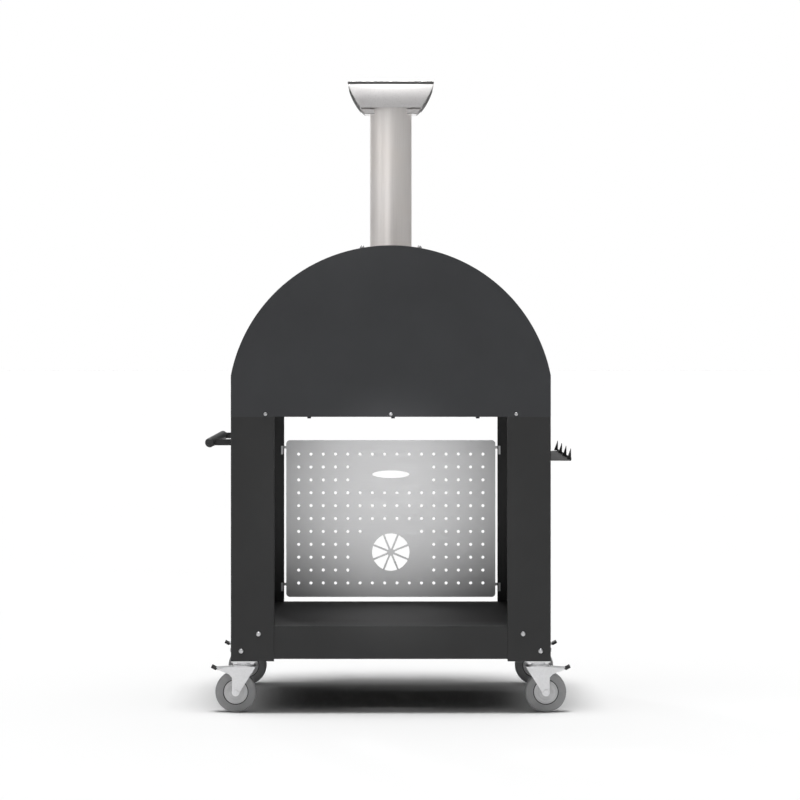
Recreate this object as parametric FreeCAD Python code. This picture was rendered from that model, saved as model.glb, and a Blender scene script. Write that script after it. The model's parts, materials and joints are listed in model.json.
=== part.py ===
import FreeCAD, Part
import math
import os
from FreeCAD import Vector

# Wood fired pizza oven on a wheeled base. Millimetres, +Z up, floor at z = 0.
# The mouth faces -Y, the plain back panel faces +Y, the push handle is on +X.
# The origin is on the floor, in the middle of the oven's overall length.

# ---- driving dimensions: whole oven ------------------------------------------------
WIDTH = 970.0
DEPTH = 750.0
HEARTH_REACH = 100.0
HALF = WIDTH / 2
BACK_Y = (DEPTH + HEARTH_REACH) / 2
FRONT_Y = BACK_Y - DEPTH
LEG_BOTTOM = 160.0
BASE_TOP = 901.0
GAP = 0.3

# ---- base frame --------------------------------------------------------------------
SHEET = 2.0
BEND = 3.0
LEG_FLANGE = 131.5
LEG_LIP = 18.0
SHELF_TOP = 267.0
SHELF_DROP = 100.0
SHELF_HEM = 15.0
FOOT_PLATE = 4.0
LOW_BOLT = (31.0, 191.0)
HIGH_BOLT = (84.0, 243.0)

# ---- push handle and tool rail -----------------------------------------------------
GRIP_R = 14.4
GRIP_WALL = 2.0
GRIP_CAP = 8.0
GRIP_X = 552.0
HANDLE_Z = 821.0
GRIP_ENDS = (40.0, 675.0)
ARM_INSETS = (45.0, 27.0)
ARM_THICK = 8.0
ARM_HEIGHT = 19.0
RAIL_Z = 767.0
RAIL_REACH = 64.0
RAIL_ENDS = (24.0, 690.0)
RAIL_SCREWS = (66.0, 90.0)
HOOK_COUNT = 4
HOOK_HEIGHT = 36.0
HOOK_WIDTH = 22.0
HOOK_ENDS = (46.0, 668.0)

# ---- tool board --------------------------------------------------------------------
BOARD_HALF = 346.5
BOARD_Z = (282.5, 802.0)
BOARD_THICK = 1.5
BOARD_SETBACK = 9.0
HOLE_R = 5.0
HOLE_COLS = 16
HOLE_ROWS = 11
HOLE_PITCH_X = 40.7
HOLE_PITCH_Z = 42.7
HOLE_TOP_Z = 755.8
OVAL_CENTRE_Z = 689.0
OVAL_SIZE = (123.4, 25.8)
PIZZA_Z = 431.0
PIZZA_R = 62.0
PIZZA_SLICES = 8
PIZZA_WEB = 6.0
TAB_TOPS = (783.0, 329.5)
TAB_HEIGHT = 28.0
TAB_NECK = 9.0
BOARD_LIFT = 21.0

# ---- casters -----------------------------------------------------------------------
WHEEL_R = 62.5
CORE_R = 37.6
TYRE_WIDTH = 32.0
TRAIL = 25.5
CASTER_X = 446.5
CASTER_INSET = 50.0
PLATE_SIZE = (76.0, 96.0)
PLATE_THICK = 4.5
PLATE_HOLES = (52.0, 76.0)
AXLE_R = 6.0
KINGPIN_R = 6.0
RUN_FIT = 0.05
CHEEK_IN = 19.0
CHEEK_OUT = 22.0
YOKE_Z = (136.0, 140.0)
PEDAL_PIVOT = (-14.0, 130.0)
PEDAL_REACH = 100.0
WING_REACH = 75.0

# ---- oven body ---------------------------------------------------------------------
SKIN = 1.5
BODY_TOP = 1421.0
CROWN_R = 510.0
CROWN_HALF_ANGLE = math.radians(20)
CORNER_Z = 1027.0
TRAY_WALL = 42.0
BOARD_LAYER = 50.0
TILE = 30.0
VAULT_INSET = 85.0
VAULT_FRONT = 60.0
VAULT_BACK = 80.0
VAULT_SKIN = 2.0
MOUTH_HALF = 260.0
MOUTH_SPRING = 80.0
MOUTH_RISE = 150.0
THROAT = 3.0
BEZEL = 25.0
BEZEL_PROUD = 4.0
DOOR_THICK = 30.0
DOOR_SKIN = 2.0
PANEL_SCREW_X = (-380.0, 0.0, 380.0)
PANEL_SCREW_Z = 909.5
TRAY_BOLT_X = (-264.0, -7.0, 248.0)

# ---- flue and cowl -----------------------------------------------------------------
FLUE_SETBACK = 180.0
FLUE_R = 67.3
FLUE_WALL = 1.5
FLANGE_HALF = 104.0
FLANGE_BOLT = (92.0, 80.0)
COWL_TOP = 1962.0
COWL_HALF = 136.5
CAP_DEPTH = 10.0
COWL_MID = (116.0, 1906.5)
COWL_LOW = (89.5, 1870.0)
COWL_EDGE_Z = 1881.0
LOBE_HALF = 42.0

# ---- thermometer -------------------------------------------------------------------
THERMO_X = 335.0
THERMO_Z = 1150.0
THERMO_R = 32.0
THERMO_DEPTH = 16.0

# ---- worked-out values -------------------------------------------------------------
TRAY_FLOOR_TOP = BASE_TOP + SHEET
BOARD_TOP = TRAY_FLOOR_TOP + BOARD_LAYER
HEARTH_Z = BOARD_TOP + TILE
CROWN_Z = BODY_TOP - CROWN_R
FLUE_Y = FRONT_Y + FLUE_SETBACK
AXLE_Z = WHEEL_R
DISH_R = 37.0
X = Vector(1, 0, 0)
Y = Vector(0, 1, 0)
Z = Vector(0, 0, 1)


# ---- shape helpers -----------------------------------------------------------------
def box(x0, x1, y0, y1, z0, z1):
    return Part.makeBox(x1 - x0, y1 - y0, z1 - z0, Vector(x0, y0, z0))


def rod(radius, start, length, axis=Z):
    return Part.makeCylinder(radius, length, start, axis)


def tube(outer, inner, start, length, axis=Z):
    return rod(outer, start, length, axis).cut(rod(inner, start, length, axis))


def joined(shapes):
    """One solid from touching shapes, with seams between coplanar faces removed."""
    whole = shapes[0].multiFuse(shapes[1:])
    return whole.removeSplitter()


def group(shapes):
    return Part.makeCompound(shapes)


def prism(corners, along):
    return Part.Face(Part.makePolygon(corners + corners[:1])).extrude(along)


def hexagon(across_flats, start, height, axis=Z):
    """A hexagonal prism whose axis is one of the three main axes."""
    radius = across_flats / math.sqrt(3)
    side = X if abs(axis.x) < 0.5 else Y
    other = axis.cross(side)
    turns = [math.radians(60 * i) for i in range(6)]
    corners = [start + side * (radius * math.cos(t)) + other * (radius * math.sin(t)) for t in turns]
    return prism(corners, axis * height)


def mirrored_x(shape):
    return shape.mirror(Vector(0, 0, 0), X)


def mirrored_y(shape):
    """The same shape on the other side of the base's mid plane."""
    return shape.mirror(Vector(0, (FRONT_Y + BACK_Y) / 2, 0), Y)


def rounded_path(points, radii, place):
    """Edges through the points, with a tangent arc of the given radius at each inner point."""
    edges = []
    start = points[0]
    for i in range(1, len(points) - 1):
        a, b, c = points[i - 1], points[i], points[i + 1]
        back = math.atan2(a[1] - b[1], a[0] - b[0])
        ahead = math.atan2(c[1] - b[1], c[0] - b[0])
        half = abs((ahead - back + math.pi) % (2 * math.pi) - math.pi) / 2
        setback = radii[i - 1] / math.tan(half)
        to_centre = radii[i - 1] / math.sin(half)
        middle = math.atan2(math.sin(back) + math.sin(ahead), math.cos(back) + math.cos(ahead))
        enter = (b[0] + setback * math.cos(back), b[1] + setback * math.sin(back))
        leave = (b[0] + setback * math.cos(ahead), b[1] + setback * math.sin(ahead))
        reach = to_centre - radii[i - 1]
        bulge = (b[0] + reach * math.cos(middle), b[1] + reach * math.sin(middle))
        edges.append(Part.LineSegment(place(*start), place(*enter)).toShape())
        edges.append(Part.Arc(place(*enter), place(*bulge), place(*leave)).toShape())
        start = leave
    edges.append(Part.LineSegment(place(*start), place(*points[-1])).toShape())
    return edges


def folded(points, thickness, place, along):
    """Bent sheet metal: the outline's left side is thickened, and each fold is rounded."""
    turns = []
    headings = []
    for a, b in zip(points, points[1:]):
        headings.append(math.atan2(b[1] - a[1], b[0] - a[0]))
    offset = [(points[0][0] - thickness * math.sin(headings[0]),
               points[0][1] + thickness * math.cos(headings[0]))]
    for i in range(1, len(headings)):
        turn = (headings[i] - headings[i - 1] + math.pi) % (2 * math.pi) - math.pi
        middle = headings[i - 1] + turn / 2 + math.pi / 2
        reach = thickness / math.cos(turn / 2)
        offset.append((points[i][0] + reach * math.cos(middle), points[i][1] + reach * math.sin(middle)))
        turns.append(turn)
    offset.append((points[-1][0] - thickness * math.sin(headings[-1]),
                   points[-1][1] + thickness * math.cos(headings[-1])))
    given = [BEND if turn > 0 else BEND - thickness for turn in turns]
    beside = [BEND - thickness if turn > 0 else BEND for turn in turns]
    edges = rounded_path(points, given, place)
    edges.append(Part.LineSegment(place(*points[-1]), place(*offset[-1])).toShape())
    edges += rounded_path(offset[::-1], beside[::-1], place)
    edges.append(Part.LineSegment(place(*offset[0]), place(*points[0])).toShape())
    return Part.Face(Part.Wire(Part.__sortEdges__(edges))).extrude(along)


def bolt(head, across_flats, radius, start, length, axis, washer=None):
    """Hex bolt: its head stands on start, its shank runs back along -axis."""
    shank = rod(radius, start - axis * length, length, axis)
    pieces = [hexagon(across_flats, start, head, axis), shank]
    if washer:
        pieces.append(rod(washer, start, 1.2, axis))
    return joined(pieces)


def button_screw(radius, height, start, length, axis):
    """Button-head screw: a domed head standing on start, its shank running back along -axis."""
    head = rod(radius, start, height, axis)
    crest = start + axis * height
    top = [e for e in head.Edges if e.BoundBox.Center.distanceToPoint(crest) < 0.01]
    head = head.makeFillet(height * 0.85, top)
    return joined([head, rod(radius / 2, start - axis * length, length, axis)])


# ---- the oven's arched outline -----------------------------------------------------
def shoulder_offset():
    """How much smaller the shoulder's radius is than the crown's, so that they meet smoothly."""
    rise = CORNER_Z - CROWN_Z
    side = HALF * math.sin(CROWN_HALF_ANGLE) + rise * math.cos(CROWN_HALF_ANGLE)
    return (CROWN_R ** 2 - HALF ** 2 - rise ** 2) / (2 * (CROWN_R - side))


def arch(inset, bottom, y0, y1):
    """The arched outline moved inwards by inset, as a solid from y0 to y1."""
    less = shoulder_offset()
    centre_x = less * math.sin(CROWN_HALF_ANGLE)
    centre_z = CROWN_Z + less * math.cos(CROWN_HALF_ANGLE)
    crown = CROWN_R - inset
    shoulder = CROWN_R - less - inset
    side = HALF - inset
    corner_angle = math.acos((side - centre_x) / shoulder)
    join_angle = math.pi / 2 - CROWN_HALF_ANGLE
    mid_angle = (corner_angle + join_angle) / 2

    def on_shoulder(angle, sign):
        out = centre_x + shoulder * math.cos(angle)
        return Vector(sign * out, y0, centre_z + shoulder * math.sin(angle))

    low_right = Vector(side, y0, bottom)
    low_left = Vector(-side, y0, bottom)
    right = [on_shoulder(angle, 1) for angle in (corner_angle, mid_angle, join_angle)]
    left = [on_shoulder(angle, -1) for angle in (join_angle, mid_angle, corner_angle)]
    top = Vector(0, y0, CROWN_Z + crown)
    edges = [
        Part.LineSegment(low_left, low_right).toShape(),
        Part.LineSegment(low_right, right[0]).toShape(),
        Part.Arc(right[0], right[1], right[2]).toShape(),
        Part.Arc(right[2], top, left[0]).toShape(),
        Part.Arc(left[0], left[1], left[2]).toShape(),
        Part.LineSegment(left[2], low_left).toShape(),
    ]
    return Part.Face(Part.Wire(edges)).extrude(Vector(0, y1 - y0, 0))


def mouth(grow, bottom, y0, y1):
    """The mouth's outline grown by grow, as a solid from y0 to y1."""
    radius = (MOUTH_HALF ** 2 + MOUTH_RISE ** 2) / (2 * MOUTH_RISE)
    centre_z = HEARTH_Z + MOUTH_SPRING + MOUTH_RISE - radius
    side = MOUTH_HALF + grow
    corner_z = centre_z + math.sqrt((radius + grow) ** 2 - side ** 2)
    top = Vector(0, y0, centre_z + radius + grow)
    right = Vector(side, y0, corner_z)
    left = Vector(-side, y0, corner_z)
    edges = [
        Part.LineSegment(Vector(-side, y0, bottom), Vector(side, y0, bottom)).toShape(),
        Part.LineSegment(Vector(side, y0, bottom), right).toShape(),
        Part.Arc(right, top, left).toShape(),
        Part.LineSegment(left, Vector(-side, y0, bottom)).toShape(),
    ]
    return Part.Face(Part.Wire(edges)).extrude(Vector(0, y1 - y0, 0))


# ---- base frame --------------------------------------------------------------------
def leg_back_right():
    """Folded leg at the +X, +Y corner: two flanges, each with a return lip above the shelf."""
    outline = [
        (HALF - LEG_FLANGE, BACK_Y - LEG_LIP),
        (HALF - LEG_FLANGE, BACK_Y),
        (HALF, BACK_Y),
        (HALF, BACK_Y - LEG_FLANGE),
        (HALF - LEG_LIP, BACK_Y - LEG_FLANGE),
    ]
    outline.reverse()
    leg = folded(outline, SHEET, lambda a, b: Vector(a, b, LEG_BOTTOM), Z * (BASE_TOP - LEG_BOTTOM))
    past = LEG_FLANGE + 1
    notch = box(HALF - past, HALF - SHEET, BACK_Y - past, BACK_Y - SHEET, LEG_BOTTOM, SHELF_TOP + 1)
    return leg.cut(notch)


def board_slots():
    """Slots in the +X front leg's lip that take the tool board's tabs and let them lift out."""
    cuts = []
    for top in TAB_TOPS:
        low = top - TAB_NECK - GAP
        cuts.append(box(HALF - LEG_FLANGE - 1, HALF - LEG_FLANGE + SHEET + 1,
                        FRONT_Y + BOARD_SETBACK - 0.6, FRONT_Y + BOARD_SETBACK + BOARD_THICK + 0.6,
                        low, low + BOARD_LIFT + TAB_HEIGHT + 3))
    return cuts


def shelf_pan():
    inner = HALF - SHEET
    front, back = FRONT_Y + SHEET, BACK_Y - SHEET
    low = SHELF_TOP - SHELF_DROP
    block = box(-inner, inner, front, back, low, SHELF_TOP)
    uprights = [e for e in block.Edges if abs(e.Vertexes[0].Z - e.Vertexes[1].Z) > 1]
    block = block.makeFillet(BEND + 1, uprights)
    wall = inner - SHEET
    hem = inner - SHELF_HEM
    hollow = box(-wall, wall, front + SHEET, back - SHEET, low + SHEET, SHELF_TOP - SHEET)
    mouth_below = box(-hem, hem, front + SHELF_HEM, back - SHELF_HEM, low - 1, low + 5)
    pan = block.cut(hollow).cut(mouth_below)
    corner = box(HALF - LEG_FLANGE, wall, BACK_Y - LEG_FLANGE, back - SHEET, low - 1, low + SHEET)
    return pan.cut(four_corners(corner))


def four_corners(shape):
    """Copies of a +X, +Y corner piece at all four corners."""
    right = [shape, mirrored_y(shape)]
    return right + [mirrored_x(s) for s in right]


def foot_plate():
    reach = LEG_FLANGE - 4
    inner = HALF - SHEET
    back = BACK_Y - SHEET
    plate = box(inner - reach, inner, back - reach, back, LEG_BOTTOM, LEG_BOTTOM + FOOT_PLATE)
    corner = [e for e in plate.Edges if abs(e.Vertexes[0].X - inner) + abs(e.Vertexes[0].Y - back) < 1
              and abs(e.Vertexes[0].Z - e.Vertexes[1].Z) > 1]
    plate = plate.makeChamfer(2.5, corner)
    for x, y in caster_hole_places():
        plate = plate.cut(rod(4.25, Vector(x, y, LEG_BOTTOM - 1), FOOT_PLATE + 2))
    return plate


def caster_hole_places():
    """The four bolt places of the caster at the +X, +Y corner."""
    centre_y = BACK_Y - CASTER_INSET
    return [(CASTER_X + i * PLATE_HOLES[0] / 2, centre_y + j * PLATE_HOLES[1] / 2)
            for i in (-1, 1) for j in (-1, 1)]


def frame_bolts():
    """Dome-head bolts that hold each leg to the shelf pan, through back or front and through the side."""
    corner = []
    for inset, z in (LOW_BOLT, HIGH_BOLT):
        corner.append(button_screw(7.2, 3.6, Vector(HALF - inset, BACK_Y, z), 12, Y))
        corner.append(button_screw(7.2, 3.6, Vector(HALF, BACK_Y - inset, z), 12, X))
    return group([piece for bolt_shape in corner for piece in four_corners(bolt_shape)])


def bolt_holes_for_leg(leg):
    for inset, z in (LOW_BOLT, HIGH_BOLT):
        leg = leg.cut(rod(3.6, Vector(HALF - inset, BACK_Y + 1, z), 20, -Y))
        leg = leg.cut(rod(3.6, Vector(HALF + 1, BACK_Y - inset, z), 20, -X))
    return leg


def caster_bolts():
    low = LEG_BOTTOM - PLATE_THICK
    pieces = []
    for x, y in caster_hole_places():
        screw = bolt(5.3, 13, 4.0, Vector(x, y, low), 22, -Z)
        nut = hexagon(13, Vector(x, y, LEG_BOTTOM + FOOT_PLATE), 6.5).cut(
            rod(4.0, Vector(x, y, LEG_BOTTOM), 20))
        pieces += four_corners(screw) + four_corners(nut)
    return group(pieces)


def caster_top_plates():
    """Top plates with their bearing dish and kingpin, bolted under the legs' foot plates."""
    low = LEG_BOTTOM - PLATE_THICK
    centre = Vector(CASTER_X, BACK_Y - CASTER_INSET, 0)
    half_x, half_y = PLATE_SIZE[0] / 2, PLATE_SIZE[1] / 2
    plate = box(centre.x - half_x, centre.x + half_x, centre.y - half_y, centre.y + half_y, low, LEG_BOTTOM)
    uprights = [e for e in plate.Edges if abs(e.Vertexes[0].Z - e.Vertexes[1].Z) > 1]
    plate = plate.makeFillet(8, uprights)
    dish = Part.makeCone(DISH_R - 3, DISH_R - 9, low - YOKE_Z[1] - 7, centre + Z * (YOKE_Z[1] + 7))
    pin = rod(KINGPIN_R, centre + Z * (YOKE_Z[0] - 4.3), low - YOKE_Z[0] + 4.3)
    head = rod(10, centre + Z * (YOKE_Z[0] - 4.3), 4)
    plate = joined([plate, dish, pin, head])
    for x, y in caster_hole_places():
        plate = plate.cut(rod(4.25, Vector(x, y, low - 1), PLATE_THICK + 2))
    return group(four_corners(plate))


# ---- push handle and tool rail -----------------------------------------------------
def handle_arm_places():
    return [BACK_Y - GRIP_ENDS[0] - ARM_INSETS[0], BACK_Y - GRIP_ENDS[1] + ARM_INSETS[1]]


def handle_grip():
    start = Vector(GRIP_X, BACK_Y - GRIP_ENDS[1], HANDLE_Z)
    grip = rod(GRIP_R, start, GRIP_ENDS[1] - GRIP_ENDS[0], Y)
    rims = [e for e in grip.Edges if abs(e.Length - 2 * math.pi * GRIP_R) < 1]
    grip = grip.makeFillet(7, rims)
    length = GRIP_ENDS[1] - GRIP_ENDS[0] - 2 * GRIP_CAP
    return grip.cut(rod(GRIP_R - GRIP_WALL, start + Y * GRIP_CAP, length, Y))


def handle_arms():
    arms = []
    for y in handle_arm_places():
        bar = box(HALF, GRIP_X, y - ARM_THICK / 2, y + ARM_THICK / 2,
                  HANDLE_Z - ARM_HEIGHT / 2, HANDLE_Z + ARM_HEIGHT / 2)
        foot = box(HALF, HALF + 4, y - 24, y + 24, HANDLE_Z - ARM_HEIGHT / 2, HANDLE_Z + ARM_HEIGHT / 2)
        arm = joined([bar, foot]).cut(rod(GRIP_R, Vector(GRIP_X, y - 30, HANDLE_Z), 60, Y))
        for side in (-16, 16):
            arm = arm.cut(rod(2.6, Vector(HALF - 1, y + side, HANDLE_Z), 6, X))
        arms.append(arm)
    return group(arms)


def side_fitting_screws():
    """Screws of the push handle and of the tool rail."""
    heads = [Vector(-HALF - SHEET, y, RAIL_Z + 15) for y in rail_screw_places()]
    screws = [button_screw(5, 2.8, head, 10, -X) for head in heads]
    for y in handle_arm_places():
        for side in (-16, 16):
            screws.append(button_screw(5, 2.8, Vector(HALF + 4, y + side, HANDLE_Z), 12, X))
    return group(screws)


def handle_holes(leg):
    """Clearance holes for the handle's screws in a +X leg."""
    for y in handle_arm_places():
        for side in (-16, 16):
            leg = leg.cut(rod(2.6, Vector(HALF + 1, y + side, HANDLE_Z), 12, -X))
    return leg


def rail_screw_places():
    return [BACK_Y - RAIL_SCREWS[0], FRONT_Y + RAIL_SCREWS[1]]


def tool_rail():
    """Sheet rail on the -X side with upturned pointed hooks along its outer edge."""
    near, far = BACK_Y - RAIL_ENDS[0], BACK_Y - RAIL_ENDS[1]
    edge = -HALF - RAIL_REACH
    outline = [(-HALF, RAIL_Z + 26), (-HALF, RAIL_Z), (edge, RAIL_Z), (edge, RAIL_Z + 9)]
    rail = folded(outline[::-1], SHEET, lambda a, b: Vector(a, far, b), Y * (near - far))
    pieces = [rail]
    for i in range(HOOK_COUNT):
        middle = BACK_Y - HOOK_ENDS[0] - i * (HOOK_ENDS[1] - HOOK_ENDS[0]) / (HOOK_COUNT - 1)
        low, high = RAIL_Z + 4, RAIL_Z + HOOK_HEIGHT
        side = [Vector(edge, middle - HOOK_WIDTH / 2, low), Vector(edge, middle + HOOK_WIDTH / 2, low),
                Vector(edge, middle + 4, high), Vector(edge, middle - 4, high)]
        blade = prism(side, X * SHEET)
        web = [Vector(edge, middle - 1, low), Vector(edge + 13, middle - 1, low),
               Vector(edge + SHEET, middle - 1, high - 3), Vector(edge, middle - 1, high - 3)]
        pieces += [blade, prism(web, Y * 2)]
    rail = joined(pieces)
    for y in rail_screw_places():
        rail = rail.cut(rod(3.2, Vector(-HALF + 2, y, RAIL_Z + 15), 8, -X))
    return rail


def rail_holes(leg):
    """Clearance holes for the rail's screws in a -X leg."""
    for y in rail_screw_places():
        leg = leg.cut(rod(3.2, Vector(-HALF - 1, y, RAIL_Z + 15), 12, X))
    return leg


# ---- tool board --------------------------------------------------------------------
def hole_row(row):
    """How many holes each half of a row holds: rows beside the cut-outs are shorter."""
    full = HOLE_COLS // 2
    return {0: full, 3: full, 4: full, 5: full, 10: full, 6: 6}.get(row, 5)


def block_through(x0, x1, z0, z1):
    y = FRONT_Y + BOARD_SETBACK - 1
    return box(x0, x1, y, y + BOARD_THICK + 2, z0, z1)


def disc_through(radius, x, z):
    return rod(radius, Vector(x, FRONT_Y + BOARD_SETBACK - 1, z), BOARD_THICK + 2, Y)


def sliced_pizza():
    """A round cut-out divided into slices by thin webs and a small hub."""
    cut = disc_through(PIZZA_R, 0, PIZZA_Z).cut(disc_through(2 * PIZZA_WEB, 0, PIZZA_Z))
    for i in range(PIZZA_SLICES // 2):
        web = block_through(-PIZZA_R - 1, PIZZA_R + 1, -PIZZA_WEB / 2, PIZZA_WEB / 2)
        web.rotate(Vector(0, 0, 0), Y, (i + 0.5) * 360 / PIZZA_SLICES)
        web.translate(Z * PIZZA_Z)
        cut = cut.cut(web)
    return [cut]


def pegboard():
    y0 = FRONT_Y + BOARD_SETBACK
    board = box(-BOARD_HALF, BOARD_HALF, y0, y0 + BOARD_THICK, BOARD_Z[0], BOARD_Z[1])
    corners = [e for e in board.Edges if abs(e.Vertexes[0].Y - e.Vertexes[1].Y) > 1]
    board = board.makeFillet(12, corners)
    cuts = []
    for row in range(HOLE_ROWS):
        z = HOLE_TOP_Z - row * HOLE_PITCH_Z
        for i in range(HOLE_COLS // 2 - hole_row(row), HOLE_COLS // 2):
            for sign in (-1, 1):
                cuts.append(disc_through(HOLE_R, sign * (i + 0.5) * HOLE_PITCH_X, z))
    oval = disc_through(1, 0, 0)
    stretch = FreeCAD.Matrix()
    stretch.scale(OVAL_SIZE[0] / 2, 1, OVAL_SIZE[1] / 2)
    oval = oval.transformGeometry(stretch)
    oval.translate(Z * OVAL_CENTRE_Z)
    cuts.append(oval)
    return board.cut(cuts + sliced_pizza())


def pegboard_tabs():
    y0 = FRONT_Y + BOARD_SETBACK
    lip = HALF - LEG_FLANGE + SHEET
    tabs = []
    for top in TAB_TOPS:
        neck, foot = top - TAB_NECK, top - TAB_HEIGHT
        corners = [(BOARD_HALF, top), (lip + 8, top), (lip + 8, foot), (lip + 1, foot),
                   (lip + 1, neck), (BOARD_HALF, neck)]
        tab = prism([Vector(x, y0, z) for x, z in corners], Y * BOARD_THICK)
        tabs += [tab, mirrored_x(tab)]
    return group(tabs)


# ---- casters -----------------------------------------------------------------------
def at_corner(shape, sign_x, sign_y):
    """Put a caster piece, built on its swivel axis and trailing to +X, at one corner."""
    moved = shape.copy()
    if sign_x < 0:
        moved.rotate(Vector(0, 0, 0), Z, 180)
    centre_y = BACK_Y - CASTER_INSET if sign_y > 0 else FRONT_Y + CASTER_INSET
    moved.translate(Vector(sign_x * CASTER_X, centre_y, 0))
    return moved


def caster_fork():
    yoke_low, yoke_top = YOKE_Z
    yoke = box(-30, DISH_R + 0.5, -CHEEK_OUT, CHEEK_OUT, yoke_low, yoke_top)
    dish = Part.makeCone(DISH_R, DISH_R - 4, 6.7, Z * yoke_top)
    wing = [(DISH_R + 0.5, yoke_top), (WING_REACH, 134.5), (WING_REACH, 128), (60, 123), (46, 117)]
    cheek_outline = wing + [(DISH_R, 107), (DISH_R - 0.5, AXLE_Z), (TRAIL - 12, AXLE_Z),
                            (-33, yoke_low), (-33, yoke_top)]
    cheek = prism([Vector(x, CHEEK_IN, z) for x, z in cheek_outline], Y * (CHEEK_OUT - CHEEK_IN))
    end = rod(12, Vector(TRAIL, CHEEK_IN, AXLE_Z), CHEEK_OUT - CHEEK_IN, Y)
    cheek = joined([cheek, end])
    cheek = cheek.cut(rod(3 + RUN_FIT, Vector(PEDAL_PIVOT[0], CHEEK_IN - 1, PEDAL_PIVOT[1]), 6, Y))
    other = mirrored_about_axis(cheek)
    fork = joined([yoke, dish, cheek, other])
    fork = fork.cut(rod(AXLE_R, Vector(TRAIL, -30, AXLE_Z), 60, Y))
    return fork.cut(rod(KINGPIN_R + RUN_FIT, Z * (yoke_low - 1), 20))


def mirrored_about_axis(shape):
    return shape.mirror(Vector(0, 0, 0), Y)


def caster_axle():
    reach = CHEEK_OUT
    shaft = rod(AXLE_R, Vector(TRAIL, -reach, AXLE_Z), 2 * reach, Y)
    head = hexagon(15, Vector(TRAIL, reach, AXLE_Z), 4, Y)
    nut = hexagon(15, Vector(TRAIL, -reach - 6, AXLE_Z), 6, Y)
    return joined([shaft, head, nut])


def wheel_core():
    """Core with a rim, a thin web, ribs and a long hub bored to run on the axle."""
    width = TYRE_WIDTH - 2
    low = -width / 2
    centre = Vector(TRAIL, 0, AXLE_Z)
    rim = tube(CORE_R, CORE_R - 5, centre + Y * low, width, Y)
    web = rod(CORE_R - 4, centre - Y * 5, 10, Y)
    hub = rod(13, centre - Y * (CHEEK_IN - 0.5), 2 * (CHEEK_IN - 0.5), Y)
    ribs = []
    for i in range(6):
        rib = box(0, CORE_R - 4, -width / 2 + 2, width / 2 - 2, -1.5, 1.5)
        rib.rotate(Vector(0, 0, 0), Y, 60 * i)
        rib.translate(centre)
        ribs.append(rib)
    core = joined([rim, web, hub] + ribs)
    return core.cut(rod(AXLE_R + RUN_FIT, centre - Y * 30, 60, Y))


def tyre():
    centre = Vector(TRAIL, 0, AXLE_Z)
    ring = tube(WHEEL_R, CORE_R, centre - Y * (TYRE_WIDTH / 2), TYRE_WIDTH, Y)
    crowns = [e for e in ring.Edges if abs(e.Length - 2 * math.pi * WHEEL_R) < 1]
    return ring.makeFillet(7, crowns)


def brake_pedal():
    """Foot pedal of the brake: two straps on a pivot pin, a plate over the tyre, an arm and a pad."""
    pivot_x, pivot_z = PEDAL_PIVOT
    inside = CHEEK_IN - 0.6
    pin = rod(3, Vector(pivot_x, -CHEEK_OUT, pivot_z), 2 * CHEEK_OUT, Y)
    straps = []
    for side in (-inside, 13):
        straps.append(rod(5.2, Vector(pivot_x, side, pivot_z), inside - 13, Y))
        straps.append(box(pivot_x, 18, side, side + inside - 13, 130.5, YOKE_Z[0] - 0.5))
    plate = box(14, 44, -inside, inside, 131, YOKE_Z[0] - 0.5)
    arm_side = [Vector(40, -15, 131), Vector(PEDAL_REACH - 17, -15, 129.5),
                Vector(PEDAL_REACH - 15, -15, 137), Vector(40, -15, 139)]
    arm = prism(arm_side, Y * 30)
    tip_side = [Vector(PEDAL_REACH - 18, -18, 132.5), Vector(PEDAL_REACH - 14, -18, 130.5),
                Vector(PEDAL_REACH, -18, 137.5), Vector(PEDAL_REACH - 2, -18, 142)]
    tip = prism(tip_side, Y * 36)
    return joined([pin] + straps + [plate, arm, tip])


# ---- oven body ---------------------------------------------------------------------
def oven_tray():
    side = HALF - SKIN
    front, back = FRONT_Y + SKIN, BACK_Y - SKIN
    block = box(-side, side, front, back, BASE_TOP, BASE_TOP + TRAY_WALL)
    hollow = box(-side + SHEET, side - SHEET, front + SHEET, back - SHEET, TRAY_FLOOR_TOP, BASE_TOP + 60)
    return block.cut(hollow)


def end_panel(y_face, inward):
    """Arched end panel with a stiffening rim turned inwards above the tray."""
    y_in = y_face + inward * SKIN
    y_rim = y_face + inward * 16
    face = arch(0, BASE_TOP, min(y_face, y_in), max(y_face, y_in))
    rim = arch(SKIN, BASE_TOP, min(y_in, y_rim), max(y_in, y_rim)).cut(
        arch(2 * SKIN, BASE_TOP - 1, min(y_in, y_rim) - 1, max(y_in, y_rim) + 1))
    rim = rim.cut(box(-WIDTH, WIDTH, FRONT_Y - 1, BACK_Y + 1, BASE_TOP - 5, BASE_TOP + TRAY_WALL + 1))
    return joined([face, rim])


def back_panel():
    return end_panel(BACK_Y, -1)


def front_panel():
    panel = end_panel(FRONT_Y, 1)
    panel = panel.cut(mouth(THROAT, HEARTH_Z - THROAT, FRONT_Y - 5, FRONT_Y + 30))
    return panel.cut(rod(5.5, Vector(THERMO_X, FRONT_Y - 1, THERMO_Z), 5, Y))


def end_panel_screws():
    screws = []
    for x in PANEL_SCREW_X:
        screws.append(button_screw(5.6, 3.4, Vector(x, BACK_Y, PANEL_SCREW_Z), SKIN + SHEET, Y))
        screws.append(button_screw(5.6, 3.4, Vector(x, FRONT_Y, PANEL_SCREW_Z), SKIN + SHEET, -Y))
    return group(screws)


def screw_holes(shape):
    for x in PANEL_SCREW_X:
        shape = shape.cut(rod(2.8, Vector(x, FRONT_Y - 5, PANEL_SCREW_Z), 15, Y))
        shape = shape.cut(rod(2.8, Vector(x, BACK_Y - 10, PANEL_SCREW_Z), 15, Y))
    return shape


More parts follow.
